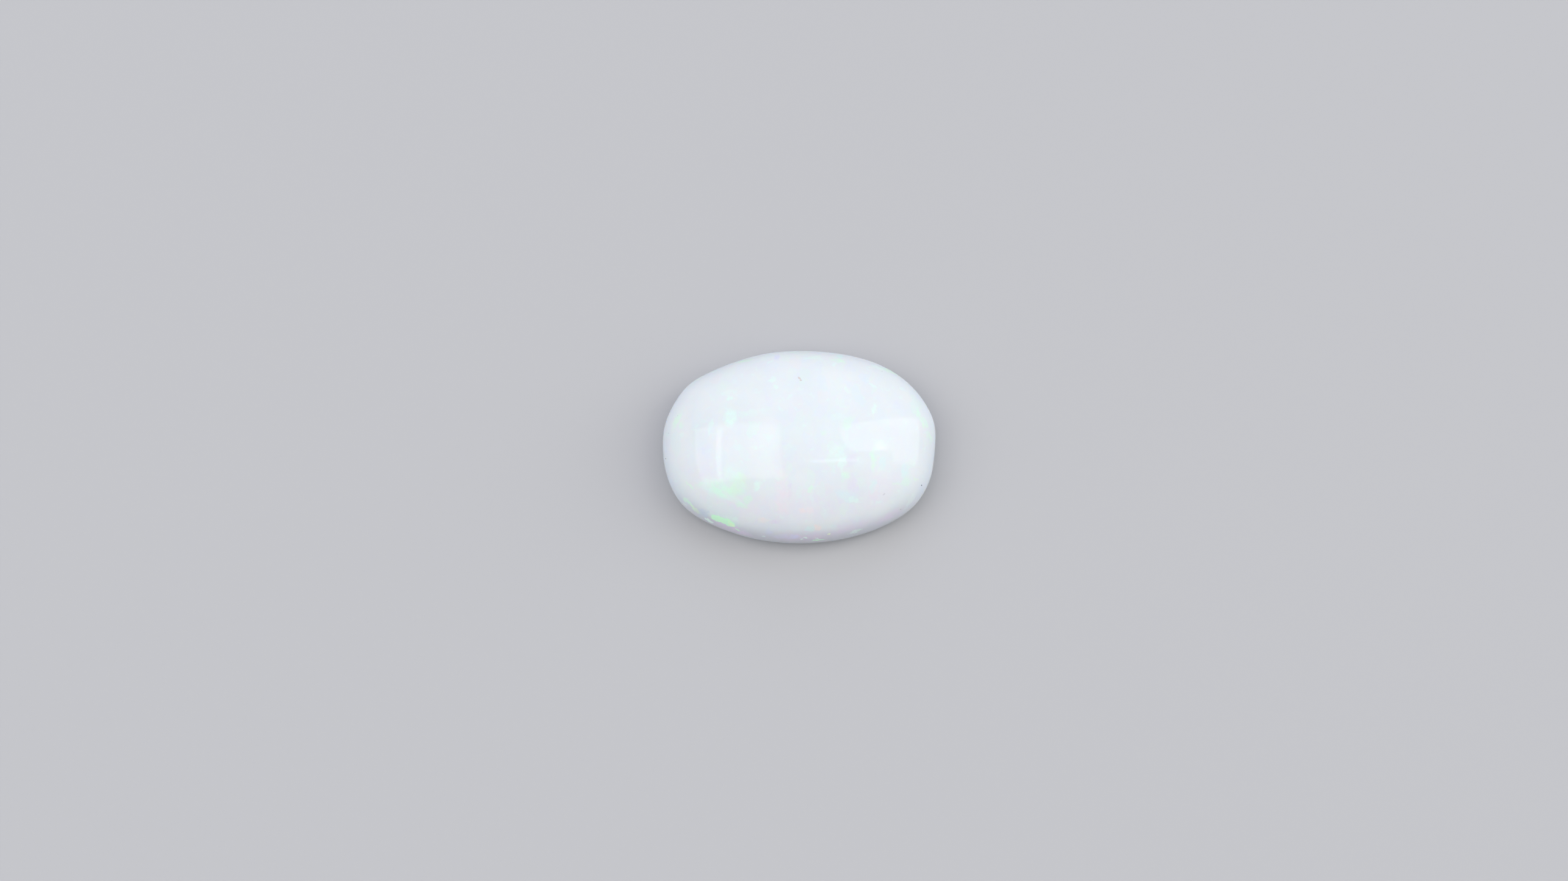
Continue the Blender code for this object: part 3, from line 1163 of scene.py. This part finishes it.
    def surface(self, opal: OpalTree, colour: Socket) -> None:
        """Finish the material with its scattering, its polish and its lapped back.

        Args:
            opal: the opal's node tree.
            colour: the colour with every layer in it.
        """
        parts = add(opal.tree, "ShaderNodeSeparateXYZ", {"Vector": opal.place})
        rough = add(opal.tree, "ShaderNodeMapRange", {
            "Value": parts.outputs["Z"],
            "From Min": self.lapped_heights[0], "From Max": self.lapped_heights[1],
            "To Min": self.polish_roughness, "To Max": self.lapped_roughness,
        }, interpolation_type="SMOOTHSTEP")
        shader = add(opal.tree, "ShaderNodeBsdfPrincipled", {
            "Base Color": colour, "Roughness": rough.outputs[0], "IOR": self.refractive_index,
            "Subsurface Weight": 1.0, "Subsurface Radius": self.scatter_spread,
            "Subsurface Scale": self.scatter_depth * MM,
        })
        add(opal.tree, "ShaderNodeOutputMaterial", {"Surface": shader.outputs["BSDF"]})


@dataclass(frozen=True)
class Softbox:
    """A flat, square-cornered studio light that faces the stone.

    Attributes:
        name: the light's name.
        towards: the direction from the stone to the light's own plane.
        size: its width and height, as shares of its distance.
        radiance: how bright its face is, where a white floor in full light is 1.
        colour: its light's colour.
        roll: degrees that it is turned about the line to the stone.
        aside: how far it is shifted in its plane, sideways and up, as shares of its distance.
        mirrored: whether it shows in the stone's polish.
        nearness: its distance, as a share of the other lights'. A lamp in front of a panel is nearer.
    """

    name: str
    towards: tuple[float, float, float]
    size: tuple[float, float]
    radiance: float
    colour: str = "#FFFFFF"
    roll: float = 0.0
    aside: tuple[float, float] = (0.0, 0.0)
    mirrored: bool = True
    nearness: float = 1.0

    def make(self, distance: float) -> bpy.types.Object:
        """Make the light.

        Args:
            distance: how far the lights are from the stone, in metres.

        Returns:
            The new light.
        """
        distance *= self.nearness
        data = bpy.data.lights.new(self.name, "AREA")
        data.shape = "RECTANGLE"
        data.size = self.size[0] * distance
        data.size_y = self.size[1] * distance
        data.energy = self.radiance * math.pi * data.size * data.size_y
        data.color = linear(self.colour)[:3]
        light = bpy.data.objects.new(self.name, data)
        bpy.context.scene.collection.objects.link(light)
        direction = Vector(self.towards).normalized()
        facing = direction.to_track_quat("Z", "Y").to_matrix()
        light.location = (direction + facing @ Vector((*self.aside, 0.0))) * distance
        turned = facing @ Matrix.Rotation(math.radians(self.roll), 3, "Z")
        light.rotation_euler = turned.to_euler()
        light.visible_camera = False
        light.visible_glossy = self.mirrored
        return light


@dataclass(frozen=True)
class PaintedFloor:
    """A plain board with matt paint, pale grey, which gives the eye nothing to look at.

    Attributes:
        half_width: how far it reaches to each side, in metres.
        paint: its colour.
        roughness: how rough the paint is.
        gloss: how much its surface mirrors, where a plain varnish has 0.5.
    """

    half_width: float = 3.0
    paint: str = "#B0B1B4"
    roughness: float = 0.75
    gloss: float = 0.2

    def make(self) -> bpy.types.Object:
        """Make the floor under the stone.

        Returns:
            The floor, which is stage and not part of the model.
        """
        material = bpy.data.materials.new("painted_board_matt")
        material.use_nodes = True
        tree = material.node_tree
        tree.nodes.clear()
        shader = add(tree, "ShaderNodeBsdfPrincipled", {
            "Base Color": linear(self.paint), "Roughness": self.roughness,
            "Specular IOR Level": self.gloss,
        })
        add(tree, "ShaderNodeOutputMaterial", {"Surface": shader.outputs["BSDF"]})
        bm = bmesh.new()
        bmesh.ops.create_grid(bm, x_segments=1, y_segments=1, size=self.half_width)
        mesh = bpy.data.meshes.new("floor")
        bm.to_mesh(mesh)
        bm.free()
        mesh.materials.append(material)
        floor = bpy.data.objects.new("floor", mesh)
        bpy.context.scene.collection.objects.link(floor)
        return floor


@dataclass(frozen=True)
class Room:
    """The room around the studio: even light, and a window's glow low in front of the stone.

    Attributes:
        colour: the light's colour.
        strength: how strong the even light is.
        glow_towards: the direction from the stone to the middle of the glow.
        glow_reach: how far from its middle the glow fades out, in degrees.
        glow_strength: how much stronger the light is in its middle.
    """

    colour: str = "#F5F7F8"
    strength: float = 0.59
    glow_towards: tuple[float, float, float] = (0.15, -0.98, 0.0)
    glow_reach: float = 42.0
    glow_strength: float = 0.45

    def make(self) -> None:
        """Make the room's light, and light the scene with it."""
        world = bpy.data.worlds.new("room")
        world.use_nodes = True
        tree = world.node_tree
        tree.nodes.clear()
        where = add(tree, "ShaderNodeTexCoord")
        towards = Vector(self.glow_towards).normalized()
        facing = add(tree, "ShaderNodeVectorMath", {
            0: where.outputs["Generated"], 1: towards,
        }, operation="DOT_PRODUCT")
        glow = add(tree, "ShaderNodeMapRange", {
            "Value": facing.outputs["Value"],
            "From Min": math.cos(math.radians(self.glow_reach)), "From Max": 1.0,
            "To Min": self.strength, "To Max": self.strength + self.glow_strength,
        }, interpolation_type="SMOOTHSTEP")
        light = add(tree, "ShaderNodeBackground", {
            "Color": linear(self.colour), "Strength": glow.outputs[0],
        })
        add(tree, "ShaderNodeOutputWorld", {"Surface": light.outputs[0]})
        bpy.context.scene.world = world


@dataclass(frozen=True)
class Studio:
    """The plain studio: a pale floor, soft boxes at the left and right, fills and an even room.

    Attributes:
        floor: the floor.
        room: the room.
        distance: how far the lights are from the stone, in metres.
        softboxes: the lights. The fills light the stone and don't show in its polish.
    """

    floor: PaintedFloor = PaintedFloor()
    room: Room = Room()
    distance: float = 1.2
    softboxes: tuple[Softbox, ...] = (
        Softbox("softbox_left", (-0.544, -0.063, 0.837), (0.87, 0.98), 1.2, roll=-5),
        Softbox("softbox_left_tube", (-0.600, -0.05, 0.73), (0.70, 0.065), 1.35, roll=-7, nearness=0.9),
        Softbox("softbox_right_high", (0.742, 0.2525, 0.6206), (0.30, 0.55), 1.4, aside=(0.03, 0.325)),
        Softbox("softbox_right_low", (0.742, 0.2525, 0.6206), (0.52, 0.67), 1.4, aside=(-0.095, -0.285)),
        Softbox("lamp_right", (0.63, 0.155, 0.75), (0.09, 0.11), 1.5, nearness=0.9),
        Softbox("tube_overhead", (0.28, -0.150, 0.95), (0.055, 0.43), 1.7, roll=37),
        Softbox("tube_overhead_short", (0.234, 0.02, 0.95), (0.04, 0.22), 1.2, roll=73),
        Softbox("fill_left", (-0.80, 0.0, 0.60), (1.0, 0.9), 0.66, mirrored=False),
        Softbox("fill_right", (0.80, 0.0, 0.60), (1.0, 0.9), 1.32, "#FFFEF6", mirrored=False),
        Softbox("fill_behind", (0.0, 0.80, 0.60), (1.2, 0.7), 0.83, "#D5DEFF", mirrored=False),
        Softbox("fill_overhead", (0.0, 0.0, 1.0), (0.9, 0.9), 0.26, "#FFD0D4", mirrored=False),
    )

    def make(self) -> None:
        """Make the floor, the lights and the room's own light."""
        self.floor.make()
        for softbox in self.softboxes:
            softbox.make(self.distance)
        self.room.make()
        bpy.context.scene.view_settings.view_transform = "Standard"


def main() -> None:
    """Build the stone, the studio and the camera in order, and report each."""
    logging.basicConfig(level=logging.INFO, format="%(name)s: %(message)s")
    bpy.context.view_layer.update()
    low, high = (Vector(corner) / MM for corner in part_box(STONE_NODE))
    stone = Cabochon(high.x - low.x, high.y - low.y, high.z - low.z)
    finish = WhiteOpal().make(stone)
    LOG.info("white opal: %d nodes, %d flashes", len(finish.node_tree.nodes), len(FLASHES))
    piece = stone.make(low, high, finish)
    LOG.info("stone: %d points, %d faces", len(piece.data.vertices), len(piece.data.polygons))
    Studio().make()
    PHOTO_VIEW.make_camera()
    LOG.info("studio and camera are in place")


if __name__ == "__main__":
    main()
